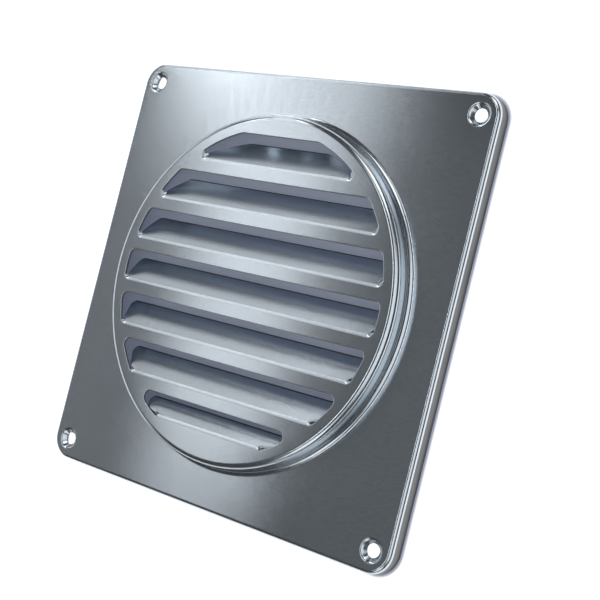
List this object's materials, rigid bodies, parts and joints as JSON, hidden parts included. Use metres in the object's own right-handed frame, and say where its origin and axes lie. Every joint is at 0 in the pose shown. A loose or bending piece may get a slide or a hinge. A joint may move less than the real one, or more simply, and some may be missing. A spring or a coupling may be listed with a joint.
{
  "type": "louvred vent",
  "caption": "Square sheet-steel wall vent with a raised round face, pressed louvres that lean back behind it, a return flange and dimpled corner screw holes.",
  "frame": {"origin": "middle of the rear rim, in the plane of the wall", "axes": "+Z out of the wall, which is up as the vent lies on its back; +Y up the wall; +X to the right as seen from the front"},
  "size_m": [0.15, 0.15, 0.0122],
  "materials": {
    "steel": "brushed stainless steel, grain along the louvres"
  },
  "bodies": {
    "root": {"vent_plate": "steel"}
  },
  "joints": []
}
